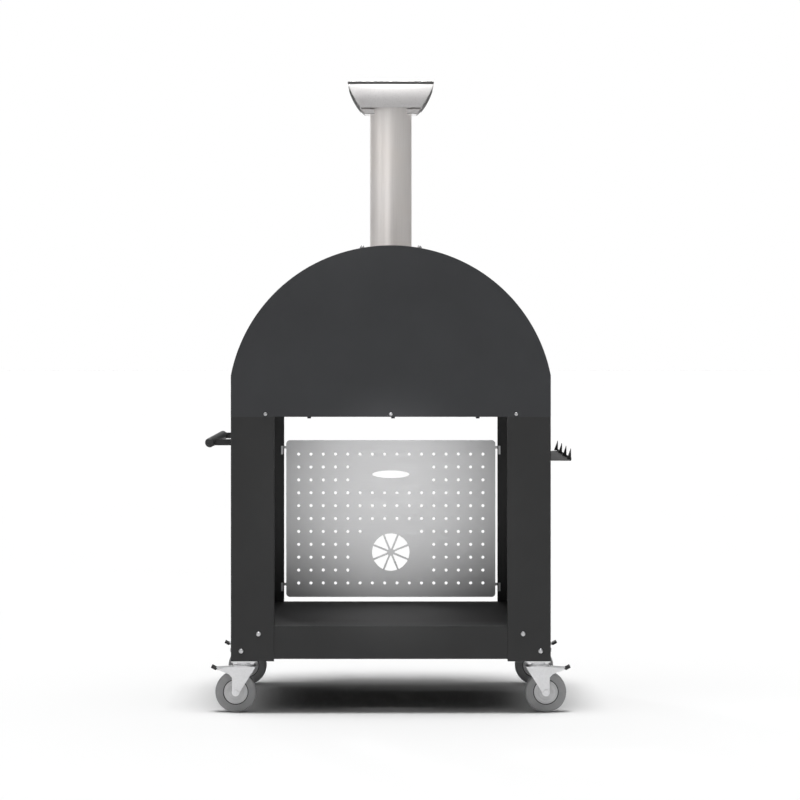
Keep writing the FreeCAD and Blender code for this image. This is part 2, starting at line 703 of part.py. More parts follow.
def outer_shell():
    front, back = FRONT_Y + SKIN, BACK_Y - SKIN
    shell = arch(0, BASE_TOP, front, back).cut(arch(SKIN, BASE_TOP - 1, front - 1, back + 1))
    return shell.cut(rod(FLUE_R + 3, Vector(0, FLUE_Y, BODY_TOP - 40), 80))


def vault_ends():
    return FRONT_Y + VAULT_FRONT, BACK_Y - VAULT_BACK


def inner_vault():
    """Stainless baking chamber: arched roof and sides, back wall, and front wall with the mouth."""
    front, back = vault_ends()
    vault = arch(VAULT_INSET, BOARD_TOP, front, back).cut(
        arch(VAULT_INSET + VAULT_SKIN, BOARD_TOP - 1, front + VAULT_SKIN, back - VAULT_SKIN))
    vault = vault.cut(mouth(0, BOARD_TOP - 1, front - 1, front + VAULT_SKIN + 1))
    vault = vault.cut(rod(FLUE_R - 1.5, Vector(0, FLUE_Y, BODY_TOP - 200), 200))
    return vault.cut(rod(4.5, Vector(THERMO_X, front - 1, THERMO_Z), VAULT_SKIN + 2, Y))


def throat():
    """Stainless band lining the mouth, with a flat bezel on the front panel."""
    front = FRONT_Y - BEZEL_PROUD
    back = FRONT_Y + VAULT_FRONT
    band = mouth(THROAT, HEARTH_Z - THROAT, FRONT_Y - 1, back)
    band = band.cut(mouth(0, HEARTH_Z - 10, FRONT_Y - 2, back + 1))
    bezel = mouth(BEZEL, HEARTH_Z, front, FRONT_Y).cut(mouth(0, HEARTH_Z - 10, front - 1, FRONT_Y + 1))
    rims = [e for e in bezel.Edges if e.BoundBox.YMax < front + 0.01 and e.BoundBox.XLength > 400]
    bezel = bezel.makeFillet(2, [max(rims, key=lambda e: e.Length)])
    return joined([band, bezel]).cut(box(-WIDTH, WIDTH, front - 5, back + 1, HEARTH_Z - 20, HEARTH_Z))


def insulation_blanket():
    """Ceramic-fibre blanket between the outer shell and the vault."""
    v_front, v_back = vault_ends()
    front, back = FRONT_Y + 18, BACK_Y - 18
    fill = arch(5, BOARD_TOP + GAP, front, back)
    fill = fill.cut(arch(VAULT_INSET - 1, BOARD_TOP - 1, v_front - 1, v_back + 1))
    fill = fill.cut(mouth(THROAT + 1, BOARD_TOP - 1, front - 1, v_front + 1))
    fill = fill.cut(rod(FLUE_R + 3, Vector(0, FLUE_Y, BODY_TOP - 200), 400))
    return fill.cut(rod(5.5, Vector(THERMO_X, front - 1, THERMO_Z), 60, Y))


def floor_insulation():
    inner = HALF - SKIN - SHEET
    return box(-inner, inner, FRONT_Y + SKIN + SHEET, BACK_Y - SKIN - SHEET, TRAY_FLOOR_TOP, BOARD_TOP)


def floor_tiles():
    """Four baking tiles in the vault and one hearth slab in the mouth."""
    front, back = vault_ends()
    side = HALF - VAULT_INSET - VAULT_SKIN - 2
    middle = (front + back) / 2
    front += VAULT_SKIN + 1
    back -= VAULT_SKIN + 1
    tiles = []
    for x0, x1 in ((-side, -0.5), (0.5, side)):
        for y0, y1 in ((front, middle - 0.5), (middle + 0.5, back)):
            tiles.append(box(x0, x1, y0, y1, BOARD_TOP, HEARTH_Z))
    slab_half = MOUTH_HALF - 2
    vault_start = FRONT_Y + VAULT_FRONT + VAULT_SKIN
    tiles.append(box(-slab_half, slab_half, FRONT_Y + 5, vault_start, BOARD_TOP, HEARTH_Z))
    rounded = []
    for tile in tiles:
        tops = [e for e in tile.Edges if e.BoundBox.ZMin > HEARTH_Z - 0.01]
        rounded.append(tile.makeChamfer(1.5, tops))
    return group(rounded)


def hearth_lip():
    """Landing plate in front of the mouth, folded down onto the front panel, with two gussets."""
    half = MOUTH_HALF + 50
    front = FRONT_Y - HEARTH_REACH
    outline = [(FRONT_Y, HEARTH_Z - 48), (FRONT_Y, HEARTH_Z), (front, HEARTH_Z), (front, HEARTH_Z - 32),
               (front + 14, HEARTH_Z - 32)]
    plate = folded(outline, SHEET, lambda a, b: Vector(-half, a, b), X * (2 * half))
    pieces = [plate]
    for x in (-half, half - SHEET):
        corners = [Vector(x, FRONT_Y - SHEET, HEARTH_Z - SHEET), Vector(x, front + SHEET, HEARTH_Z - SHEET),
                   Vector(x, front + SHEET, HEARTH_Z - 30), Vector(x, FRONT_Y - SHEET, HEARTH_Z - 46)]
        pieces.append(prism(corners, X * SHEET))
    return joined(pieces)


def door_faces():
    """Front and back of the door, which stands on the landing plate just before the bezel."""
    back = FRONT_Y - BEZEL_PROUD - 1
    return back - DOOR_THICK, back


def door_panel():
    """Lift-off door's closed sheet casing."""
    front, back = door_faces()
    door = mouth(12, HEARTH_Z + GAP, front, back)
    face_rim = [e for e in door.Edges if e.BoundBox.YMax < front + 0.01]
    door = door.makeFillet(4, face_rim)
    return door.cut(mouth(12 - DOOR_SKIN, HEARTH_Z + GAP + DOOR_SKIN, front + DOOR_SKIN, back - DOOR_SKIN))


def door_insulation():
    front, back = door_faces()
    less = DOOR_SKIN + GAP
    return mouth(12 - less, HEARTH_Z + GAP + less, front + less, back - less)


def door_handle():
    front = door_faces()[0]
    z = HEARTH_Z + 120
    y_grip = front - 44
    grip = rod(13, Vector(-130, y_grip, z), 260, X)
    ends = [e for e in grip.Edges if abs(e.Length - 2 * math.pi * 13) < 1]
    grip = grip.makeFillet(5, ends)
    pieces = [grip]
    for x in (-95, 95):
        post = box(x - 5, x + 5, y_grip, front - 3, z - 9, z + 9)
        foot = box(x - 20, x + 20, front - 3, front, z - 15, z + 15)
        pieces += [post, foot]
    return joined(pieces)


def tray_bolts():
    """Hex bolts under the oven tray: a row near the back and a row near the front."""
    screws = []
    for x in TRAY_BOLT_X:
        for y in (BACK_Y - 22, FRONT_Y + 22):
            screws.append(bolt(5.3, 10, 3.0, Vector(x, y, BASE_TOP), 8, -Z))
    return group(screws)


def tray_bolt_holes(shape):
    for x in TRAY_BOLT_X:
        for y in (BACK_Y - 22, FRONT_Y + 22):
            shape = shape.cut(rod(3.1, Vector(x, y, BASE_TOP - 1), 10))
    return shape


# ---- flue and cowl -----------------------------------------------------------------
def flue_collar():
    """Flat flange on a skirt that follows the arched shell, with a spigot down into the vault."""
    centre = Vector(0, FLUE_Y, 0)
    y0, y1 = FLUE_Y - FLANGE_HALF, FLUE_Y + FLANGE_HALF
    plate_low = BODY_TOP + 1
    skirt = box(-FLANGE_HALF, FLANGE_HALF, y0, y1, BODY_TOP - 30, plate_low).cut(
        box(-FLANGE_HALF + SHEET, FLANGE_HALF - SHEET, y0 + SHEET, y1 - SHEET, BODY_TOP - 31, plate_low + 1))
    skirt = skirt.cut(arch(0, BASE_TOP, y0 - 1, y1 + 1))
    plate = box(-FLANGE_HALF, FLANGE_HALF, y0, y1, plate_low, plate_low + 3)
    spigot_r = FLUE_R - FLUE_WALL - 0.2
    plate = plate.cut(rod(spigot_r - 2.8, centre + Z * (plate_low - 1), 5))
    vault_top = BODY_TOP - VAULT_INSET - VAULT_SKIN
    spigot = tube(spigot_r, spigot_r - 2.8, centre + Z * (vault_top - 4), plate_low + 45 - vault_top + 4)
    collar = joined([plate, skirt, spigot])
    for x, y in flange_bolt_places():
        collar = collar.cut(rod(4.1, Vector(x, y, plate_low - 1), 5))
    return collar


def flange_bolt_places():
    return [(i * FLANGE_BOLT[0], FLUE_Y + j * FLANGE_BOLT[1]) for i in (-1, 1) for j in (-1, 1)]


def flange_bolts():
    """Studs with washers and dome nuts that hold the flue flange to the shell."""
    seat = BODY_TOP + 4
    studs = []
    for x, y in flange_bolt_places():
        nut = hexagon(13, Vector(x, y, seat + 1.6), 6.5)
        washer = rod(8, Vector(x, y, seat), 1.6)
        dome = Part.makeSphere(6, Vector(x, y, seat + 8)).common(rod(7, Vector(x, y, seat + 7), 12))
        shank = rod(4, Vector(x, y, seat - 6), 8)
        studs.append(joined([nut, washer, dome, shank]))
    return group(studs)


def flue_pipe():
    start = Vector(0, FLUE_Y, BODY_TOP + 4)
    return tube(FLUE_R, FLUE_R - FLUE_WALL, start, COWL_EDGE_Z + 35 - start.z)


def bowl_profile(inset, place, along):
    """The cowl's curved profile as a solid: wide at the rim, turned in to a flat bottom."""
    rim = (COWL_HALF - inset, COWL_TOP - CAP_DEPTH)
    mid = (COWL_MID[0] - inset * 0.9, COWL_MID[1] + inset * 0.4)
    low = (COWL_LOW[0] - inset * 0.7, COWL_LOW[1] + inset * 0.8)
    bottom_z = COWL_LOW[1] - 5 + inset
    toe = (COWL_LOW[0] - 6, bottom_z)
    edges = [
        Part.LineSegment(place(-rim[0], rim[1]), place(rim[0], rim[1])).toShape(),
        Part.Arc(place(rim[0], rim[1]), place(mid[0], mid[1]), place(low[0], low[1])).toShape(),
        Part.LineSegment(place(low[0], low[1]), place(toe[0], toe[1])).toShape(),
        Part.LineSegment(place(toe[0], toe[1]), place(-toe[0], toe[1])).toShape(),
        Part.LineSegment(place(-toe[0], toe[1]), place(-low[0], low[1])).toShape(),
        Part.Arc(place(-low[0], low[1]), place(-mid[0], mid[1]), place(-rim[0], rim[1])).toShape(),
    ]
    return Part.Face(Part.Wire(edges)).extrude(along)


def bowl_seen_from_front(inset, half_depth):
    """Profile in X and Z, running along Y."""
    return bowl_profile(inset, lambda a, b: Vector(a, FLUE_Y - half_depth, b), Y * (2 * half_depth))


def bowl_seen_from_side(inset, half_width):
    """Profile in Y and Z, running along X."""
    return bowl_profile(inset, lambda a, b: Vector(-half_width, FLUE_Y + a, b), X * (2 * half_width))


def cowl_trough():
    """The cowl's two curved side walls, which narrow to a lobe on each side of the pipe."""
    half = COWL_HALF + 1
    shell = bowl_seen_from_front(0, COWL_HALF).cut(bowl_seen_from_front(SKIN, half))
    upper = box(-half, half, FLUE_Y - half, FLUE_Y + half, COWL_EDGE_Z, COWL_TOP)
    upper = upper.common(bowl_seen_from_side(0, half))
    lobes = box(-half, half, FLUE_Y - LOBE_HALF, FLUE_Y + LOBE_HALF, COWL_EDGE_Z - 40, COWL_EDGE_Z)
    shell = shell.common(upper.fuse(lobes))
    return shell.cut(rod(FLUE_R, Vector(0, FLUE_Y, COWL_EDGE_Z - 40), 60))


def cowl_wall(sign):
    """One curved wall that faces the oven's front or back and fits between the side walls."""
    shell = bowl_seen_from_side(0, COWL_HALF).cut(bowl_seen_from_side(SKIN, COWL_HALF + 1))
    shell = shell.common(bowl_seen_from_front(SKIN, COWL_HALF + 1))
    keep = sorted((FLUE_Y + sign * 70, FLUE_Y + sign * 200))
    return shell.common(box(-200, 200, keep[0], keep[1], COWL_EDGE_Z, COWL_TOP))


def cowl_walls():
    return group([cowl_wall(-1), cowl_wall(1)])


def cowl_cap():
    """Flat rain plate with a folded-down rim."""
    half = COWL_HALF + 1
    low = COWL_TOP - CAP_DEPTH
    block = box(-half, half, FLUE_Y - half, FLUE_Y + half, low, COWL_TOP)
    rims = [e for e in block.Edges if e.BoundBox.ZMin > COWL_TOP - 0.01]
    block = block.makeFillet(1.2, rims)
    return block.cut(box(-half + 2, half - 2, FLUE_Y - half + 2, FLUE_Y + half - 2, low - 1, COWL_TOP - SKIN))


# ---- thermometer -------------------------------------------------------------------
def thermo_centre(depth):
    """A point on the thermometer's axis, depth millimetres in front of the front panel."""
    return Vector(THERMO_X, FRONT_Y - depth, THERMO_Z)


def thermometer_case():
    case = rod(THERMO_R, thermo_centre(0), THERMO_DEPTH, -Y)
    rim = [e for e in case.Edges if e.BoundBox.YMax < FRONT_Y - THERMO_DEPTH + 0.01]
    case = case.makeFillet(3, rim)
    case = case.cut(rod(THERMO_R - 5, thermo_centre(3), THERMO_DEPTH, -Y))
    probe = rod(4, thermo_centre(0), VAULT_FRONT + 40, Y)
    return joined([case, probe])


def thermometer_dial():
    return rod(THERMO_R - 5.2, thermo_centre(3), 2, -Y)


def thermometer_needle():
    """Thin pointer with a hub, standing at its lowest reading, down to the left."""
    tip_turn = math.radians(225)
    root = thermo_centre(6)
    hub = rod(3, root, 1.6, -Y)
    ahead = Vector(math.cos(tip_turn), 0, math.sin(tip_turn))
    side = Vector(-math.sin(tip_turn), 0, math.cos(tip_turn))
    blade = prism([root + ahead * 22, root + side * 1.3, root - ahead * 8 + side * 1.3,
                   root - ahead * 8 - side * 1.3, root - side * 1.3], -Y * 0.8)
    return joined([hub, blade])


def thermometer_glass():
    return rod(THERMO_R - 5.2, thermo_centre(THERMO_DEPTH - 5), 3, -Y)


# ---- nodes -------------------------------------------------------------------------
def all_nodes():
    leg = bolt_holes_for_leg(leg_back_right())
    front_leg = mirrored_y(leg)
    for cut in board_slots():
        front_leg = front_leg.cut(cut)
    pan = bolt_holes_for_leg(shelf_pan())
    for turned in (mirrored_x, mirrored_y, lambda s: mirrored_x(mirrored_y(s))):
        pan = turned(bolt_holes_for_leg(turned(pan)))
    nodes = {
        "leg_back_handle_side": handle_holes(leg),
        "leg_front_handle_side": handle_holes(front_leg),
        "leg_back_rail_side": rail_holes(mirrored_x(leg)),
        "leg_front_rail_side": rail_holes(mirrored_x(front_leg)),
        "shelf_pan": pan,
        "leg_foot_plates": group(four_corners(foot_plate())),
        "frame_bolts": frame_bolts(),
        "caster_bolts": caster_bolts(),
        "caster_top_plates": caster_top_plates(),
        "push_handle_grip": handle_grip(),
        "push_handle_arms": handle_arms(),
        "side_fitting_screws": side_fitting_screws(),
        "tool_rail": tool_rail(),
        "pegboard": pegboard(),
        "pegboard_tabs": pegboard_tabs(),
        "oven_tray": tray_bolt_holes(screw_holes(oven_tray())),
        "tray_bolts": tray_bolts(),
        "back_panel": screw_holes(back_panel()),
        "front_panel": screw_holes(front_panel()),
        "end_panel_screws": end_panel_screws(),
        "outer_shell": outer_shell(),
        "insulation_blanket": insulation_blanket(),
        "inner_vault": inner_vault(),
        "floor_insulation": tray_bolt_holes(floor_insulation()),
        "floor_tiles": floor_tiles(),
        "mouth_throat": throat(),
        "hearth_lip": hearth_lip(),
        "door_panel": door_panel(),
        "door_insulation": door_insulation(),
        "door_handle": door_handle(),
        "flue_collar": flue_collar(),
        "flange_bolts": flange_bolts(),
        "flue_pipe": flue_pipe(),
        "cowl_trough": cowl_trough(),
        "cowl_walls": cowl_walls(),
        "cowl_cap": cowl_cap(),
        "thermometer_case": thermometer_case(),
        "thermometer_dial": thermometer_dial(),
        "thermometer_needle": thermometer_needle(),
        "thermometer_glass": thermometer_glass(),
    }
    caster_pieces = {"caster_fork": caster_fork(), "caster_axle": caster_axle(), "wheel_core": wheel_core(),
                     "tyre": tyre(), "brake_pedal": brake_pedal()}
    for side, sign_x in (("handle_side", 1), ("rail_side", -1)):
        for end, sign_y in (("back", 1), ("front", -1)):
            for name, shape in caster_pieces.items():
                nodes[f"{name}_{end}_{side}"] = at_corner(shape, sign_x, sign_y)
    return nodes


os.makedirs("parts", exist_ok=True)
for name, shape in all_nodes().items():
    shape.exportStep(f"parts/{name}.step")
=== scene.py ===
"""Looks, light and camera for a wheeled wood fired pizza oven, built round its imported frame."""
import json
import math

import bmesh
import bpy
from mathutils import Matrix, Vector

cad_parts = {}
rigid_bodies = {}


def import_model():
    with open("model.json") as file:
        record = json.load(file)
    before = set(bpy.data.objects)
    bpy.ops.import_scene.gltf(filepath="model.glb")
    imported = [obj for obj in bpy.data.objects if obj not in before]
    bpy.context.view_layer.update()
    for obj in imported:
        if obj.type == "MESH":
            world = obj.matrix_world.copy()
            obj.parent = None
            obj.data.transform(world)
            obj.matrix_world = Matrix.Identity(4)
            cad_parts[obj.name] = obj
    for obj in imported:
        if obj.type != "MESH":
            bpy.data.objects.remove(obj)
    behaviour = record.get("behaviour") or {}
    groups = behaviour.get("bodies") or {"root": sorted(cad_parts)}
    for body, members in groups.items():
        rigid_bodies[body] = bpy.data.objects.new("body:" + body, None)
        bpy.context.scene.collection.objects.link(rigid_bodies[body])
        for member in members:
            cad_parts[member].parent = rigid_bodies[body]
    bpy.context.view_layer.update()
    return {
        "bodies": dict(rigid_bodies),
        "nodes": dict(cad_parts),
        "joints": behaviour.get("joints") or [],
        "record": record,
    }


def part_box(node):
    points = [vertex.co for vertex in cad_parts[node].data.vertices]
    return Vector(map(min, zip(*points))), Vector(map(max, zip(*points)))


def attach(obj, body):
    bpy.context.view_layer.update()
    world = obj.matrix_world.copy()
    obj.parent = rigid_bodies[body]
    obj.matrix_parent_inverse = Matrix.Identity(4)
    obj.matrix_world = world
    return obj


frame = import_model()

NODES = frame["nodes"]
JOINTS = {joint["name"]: joint for joint in frame["joints"]}
CORNERS = [name[len("swivel_"):] for name in frame["bodies"] if name.startswith("swivel_")]
MM = 0.001

# Light: the surround's strength rises from LOW to HIGH between two heights of the view direction,
# lower down for reflections, and leans to one side by SIDE
WORLD_LOW = 0.02
WORLD_HIGH = 0.62
WORLD_RISE = (0.46, 0.88)
MIRRORED_RISE = (0.12, 0.42)
WORLD_SIDE = 0.30
SUN_STRENGTH = 2.55
SUN_ANGLE = math.radians(20)
SUN_TILT = math.radians(-4)
BEAM_RADIUS = 0.12
# Each beam: place, node it is aimed at, share of that node's height, cone in degrees, power in watts
BEAMS = {
    "board_beam": ((0, 2.5, 0.5), "pegboard", 0.68, 20.0, 44),
    "shelf_beam": ((0, 2.0, 2.25), "pegboard", -0.9, 12.0, 330),
    "cowl_beam": ((0, 3.0, 0.25), "cowl_walls", 0.75, 7.0, 40),
    "pipe_beam": ((4.2, 1.9, 2.2), "flue_pipe", 0.5, 9.0, 47),
    "pipe_fill": ((1.5, 4.2, 2.0), "flue_pipe", 0.3, 10.0, 88),
    "front_beam": ((1.8, -3.6, 2.6), "front_panel", 0.4, 28.0, 150),
}

# Camera: distance from the back panel and height in metres, lens in millimetres
CAMERA_DISTANCE = 7.9
CAMERA_HEIGHT = 1.134
CAMERA_LENS = 117.3
CAMERA_SHIFT = (0.0115, -0.075)


# ---- node materials ----------------------------------------------------------------
class Surface:
    """A node material in the making: its tree, its Principled shader and its object coordinates."""

    def __init__(self, name, **sockets):
        self.material = bpy.data.materials.new(name)
        self.material.use_nodes = True
        self.tree = self.material.node_tree
        self.shader = self.tree.nodes["Principled BSDF"]
        self.place = self.add("ShaderNodeTexCoord").outputs["Object"]
        for socket, value in sockets.items():
            self.shader.inputs[socket.replace("_", " ")].default_value = value

    def add(self, kind, **settings):
        node = self.tree.nodes.new(kind)
        for key, value in settings.items():
            setattr(node, key, value)
        return node

    def join(self, output, socket):
        self.tree.links.new(output, socket)

    def drive(self, socket, output):
        self.join(output, self.shader.inputs[socket])

    def stretched(self, stretch):
        """Object coordinates scaled differently along X, Y and Z."""
        mapping = self.add("ShaderNodeMapping")
        mapping.inputs["Scale"].default_value = stretch
        self.join(self.place, mapping.inputs["Vector"])
        return mapping.outputs["Vector"]

    def noise(self, scale, detail=2.0, roughness=0.5, stretch=None):
        node = self.add("ShaderNodeTexNoise")
        node.inputs["Scale"].default_value = scale
        node.inputs["Detail"].default_value = detail
        node.inputs["Roughness"].default_value = roughness
        self.join(self.stretched(stretch) if stretch else self.place, node.inputs["Vector"])
        return node.outputs["Fac"]

    def cells(self, scale, output="Distance"):
        node = self.add("ShaderNodeTexVoronoi")
        node.inputs["Scale"].default_value = scale
        self.join(self.place, node.inputs["Vector"])
        return node.outputs[output]

    def between(self, value, low, high, to_low=0.0, to_high=1.0):
        """value, carried from low..high to to_low..to_high and clamped."""
        node = self.add("ShaderNodeMapRange")
        numbers = {"From Min": low, "From Max": high, "To Min": to_low, "To Max": to_high}
        for socket, number in numbers.items():
            node.inputs[socket].default_value = number
        self.join(value, node.inputs["Value"])
        return node.outputs["Result"]

    def math(self, operation, a, b=None):
        node = self.add("ShaderNodeMath", operation=operation)
        for socket, value in zip(node.inputs, (a, b)):
            if isinstance(value, (int, float)):
                socket.default_value = value
            elif value is not None:
                self.join(value, socket)
        return node.outputs["Value"]

    def mix(self, share, first, second):
        """Colour between first and second; each is a colour or another node's output."""
        node = self.add("ShaderNodeMix", data_type="RGBA")
        self.join(share, node.inputs["Factor"])
        for socket, value in ((node.inputs[6], first), (node.inputs[7], second)):
            if isinstance(value, tuple):
                socket.default_value = (*value, 1)
            else:
                self.join(value, socket)
        return node.outputs[2]

    def soft_edges(self, radius):
        """Normal that rounds the edges over radius metres."""
        node = self.add("ShaderNodeBevel", samples=4)
        node.inputs["Radius"].default_value = radius
        return node.outputs["Normal"]

    def edge_share(self, rounded):
        """1 along edges, where the rounded normal leaves the real one, and 0 elsewhere."""
        dot = self.add("ShaderNodeVectorMath", operation="DOT_PRODUCT")
        self.join(rounded, dot.inputs[0])
        self.join(self.add("ShaderNodeNewGeometry").outputs["Normal"], dot.inputs[1])
        return self.between(dot.outputs["Value"], 0.995, 0.90)

    def bump(self, height, depth, normal=None):
        node = self.add("ShaderNodeBump")
        node.inputs["Distance"].default_value = depth
        self.join(height, node.inputs["Height"])
        if normal is not None:
            self.join(normal, node.inputs["Normal"])
        return node.outputs["Normal"]


def shade(colour, factor):
    return tuple(channel * factor for channel in colour)


def powder_coat(name, colour, roughness, specular):
    """Baked powder paint: fine orange peel, faint cloudiness, and a painted highlight that lightens the
    colour along the edges.
    """
    s = Surface(name, Specular_IOR_Level=specular)
    rounded = s.soft_edges(0.5 * MM)
    peel = s.noise(900, detail=3.0)
    cloud = s.noise(6, detail=3.0)
    paint = s.mix(s.between(cloud, 0.3, 0.7), shade(colour, 0.94), shade(colour, 1.06))
    grains = s.between(s.noise(2600, detail=1.0), 0.35, 0.65, 0.0, 0.10)
    paint = s.mix(grains, paint, shade(colour, 1.9))
    # painted highlight: the paint colour is lightened along edges, where light would catch them
    painted_edge_highlight = s.math("MULTIPLY", s.edge_share(rounded), 0.15)
    s.drive("Base Color", s.mix(painted_edge_highlight, paint, shade(colour, 1.7)))
    s.drive("Roughness", s.between(peel, 0.3, 0.7, roughness - 0.05, roughness + 0.05))
    s.drive("Normal", s.bump(peel, 0.05 * MM, rounded))
    return s.material


def brushed_steel(name, colour, roughness, stretch, depth=0.01, tint=(1.0, 1.0, 1.0), metallic=1.0):
    """Stainless sheet with a brushed grain, stretched along the brushing direction."""
    s = Surface(name, Metallic=metallic)
    rounded = s.soft_edges(0.6 * MM)
    grain = s.noise(1.0, detail=4.0, roughness=0.6, stretch=stretch)
    cloud = s.noise(7, detail=2.0)
    bright = s.mix(s.between(grain, 0.25, 0.75), shade(colour, 0.93), shade(colour, 1.05))
    warm = tuple(a * b for a, b in zip(colour, tint))
    s.drive("Base Color", s.mix(s.between(cloud, 0.35, 0.75, 0.0, 0.5), bright, warm))
    s.drive("Roughness", s.between(grain, 0.25, 0.75, roughness - 0.05, roughness + 0.06))
    s.drive("Normal", s.bump(grain, depth * MM, rounded))
    return s.material


def zinc(name, colour):
    """Bright zinc plating with faint crystal patches and small handling marks."""
    s = Surface(name, Metallic=1.0)
    rounded = s.soft_edges(0.7 * MM)
    crystal = s.add("ShaderNodeSeparateColor")
    s.join(s.cells(190, "Color"), crystal.inputs["Color"])
    patch = crystal.outputs["Red"]
    marks = s.noise(420, detail=4.0, roughness=0.7)
    plated = s.mix(patch, shade(colour, 0.94), colour)
    s.drive("Base Color", s.mix(s.between(marks, 0.62, 0.72, 0.0, 0.35), plated, shade(colour, 0.72)))
    s.drive("Roughness", s.between(patch, 0, 1, 0.34, 0.46))
    s.drive("Normal", s.bump(marks, 0.02 * MM, rounded))
    return s.material


def fastener(name, colour, roughness):
    s = Surface(name, Metallic=1.0)
    rounded = s.soft_edges(0.4 * MM)
    turned = s.noise(1500, detail=2.0)
    s.drive("Base Color", s.mix(s.between(turned, 0.3, 0.7), shade(colour, 0.85), colour))
    s.drive("Roughness", s.between(turned, 0.3, 0.7, roughness - 0.04, roughness + 0.06))
    s.drive("Normal", s.bump(turned, 0.01 * MM, rounded))
    return s.material


def heat_tinted_steel():
    """Chamber sheet: brushed stainless with straw and blue heat tints and a little soot."""
    colour = (0.46, 0.43, 0.40)
    s = Surface("heat_tinted_steel", Metallic=1.0)
    grain = s.noise(1.0, detail=4.0, stretch=(14, 700, 700))
    cloud = s.noise(5.5, detail=4.0, roughness=0.6)
    straw = s.mix(s.between(cloud, 0.38, 0.58), colour, (0.42, 0.31, 0.17))
    blue = s.mix(s.between(cloud, 0.58, 0.72), straw, (0.22, 0.22, 0.30))
    soot = s.between(s.noise(14, detail=5.0, roughness=0.65), 0.58, 0.80, 0.0, 0.7)
    s.drive("Base Color", s.mix(soot, blue, (0.035, 0.032, 0.030)))
    s.drive("Roughness", s.between(grain, 0.25, 0.75, 0.36, 0.52))
    s.drive("Normal", s.bump(grain, 0.01 * MM, s.soft_edges(0.6 * MM)))
    return s.material


def rubber(name, colour, dust):
    """Moulded grey rubber: a dull skin, slightly polished and dusty in patches."""
    s = Surface(name, Specular_IOR_Level=0.3)
    skin = s.noise(650, detail=4.0, roughness=0.6)
    scuff = s.between(s.noise(38, detail=5.0, roughness=0.7), 0.50, 0.70, 0.0, 0.55)
    s.drive("Base Color", s.mix(scuff, colour, dust))
    s.drive("Roughness", s.between(skin, 0.3, 0.7, 0.62, 0.80))
    s.drive("Normal", s.bump(skin, 0.06 * MM, s.soft_edges(0.8 * MM)))
    return s.material


def moulded_plastic(name, colour):
    """Injection-moulded nylon with a fine spark-eroded grain."""
    s = Surface(name, Specular_IOR_Level=0.4)
    grain = s.noise(1300, detail=2.0)
    flow = s.noise(22, detail=3.0)
    s.drive("Base Color", s.mix(s.between(flow, 0.35, 0.65), shade(colour, 0.93), shade(colour, 1.05)))
    s.drive("Roughness", s.between(grain, 0.3, 0.7, 0.44, 0.58))
    s.drive("Normal", s.bump(grain, 0.03 * MM, s.soft_edges(0.7 * MM)))
    return s.material


def refractory():
    """Pressed fireclay: sandy body with pale and dark grains and small pits."""
    s = Surface("refractory", Specular_IOR_Level=0.2)
    body = s.mix(s.between(s.noise(16, detail=5.0), 0.35, 0.65), (0.60, 0.47, 0.32), (0.72, 0.60, 0.44))
    pale = s.between(s.noise(520, detail=2.0), 0.60, 0.70, 0.0, 0.7)
    dark = s.between(s.noise(380, detail=3.0), 0.62, 0.70, 0.0, 0.6)
    pits = s.between(s.cells(240), 0.06, 0.22)
    sand = s.mix(dark, s.mix(pale, body, (0.86, 0.80, 0.70)), (0.26, 0.17, 0.11))
    # painted shade: the pits are drawn darker, as shade in their hollows
    s.drive("Base Color", s.mix(pits, (0.33, 0.24, 0.16), sand))
    s.shader.inputs["Roughness"].default_value = 0.92
    height = s.math("ADD", s.math("MULTIPLY", pits, 0.8), s.math("MULTIPLY", s.noise(900, detail=3.0), 0.4))
    s.drive("Normal", s.bump(height, 0.35 * MM, s.soft_edges(1.5 * MM)))
    return s.material


def fibre(name, pale, deep):
    """Felted ceramic wool: crossing fibres with a loose, dull nap."""
    s = Surface(name, Sheen_Weight=0.25, Specular_IOR_Level=0.1, Roughness=0.95)
    along = s.noise(1.0, detail=5.0, roughness=0.65, stretch=(60, 420, 420))
    across = s.noise(1.0, detail=5.0, roughness=0.65, stretch=(420, 60, 420))
    felt = s.math("ADD", s.math("MULTIPLY", along, 0.5), s.math("MULTIPLY", across, 0.5))
    s.drive("Base Color", s.mix(s.between(felt, 0.36, 0.62), deep, pale))
    s.drive("Normal", s.bump(felt, 1.2 * MM))
    return s.material


def enamel(name, colour, fleck):
    """Smooth fired paint with a barely uneven film."""
    s = Surface(name, Coat_Weight=0.3)
    film = s.noise(300, detail=3.0)
    s.drive("Base Color", s.mix(s.between(film, 0.35, 0.70), colour, fleck))
    s.drive("Roughness", s.between(film, 0.3, 0.7, 0.30, 0.42))
    s.drive("Normal", s.bump(film, 0.01 * MM))
    return s.material


def dial_glass():
    s = Surface("dial_glass", Transmission_Weight=1.0, IOR=1.47)
    haze = s.noise(90, detail=4.0)
    s.drive("Base Color", s.mix(s.between(haze, 0.4, 0.7), (0.97, 0.99, 0.98), (0.93, 0.96, 0.95)))
    s.drive("Roughness", s.between(haze, 0.55, 0.85, 0.01, 0.08))
    return s.material


# Nodes that take a variant of their slot's finish
VARIANTS = {"cowl_cap": "cap_steel", "cowl_trough": "cap_steel", "shelf_pan": "stand_coat"}
VARIANTS.update({name: "stand_coat" for name in NODES if name.startswith("leg_")})


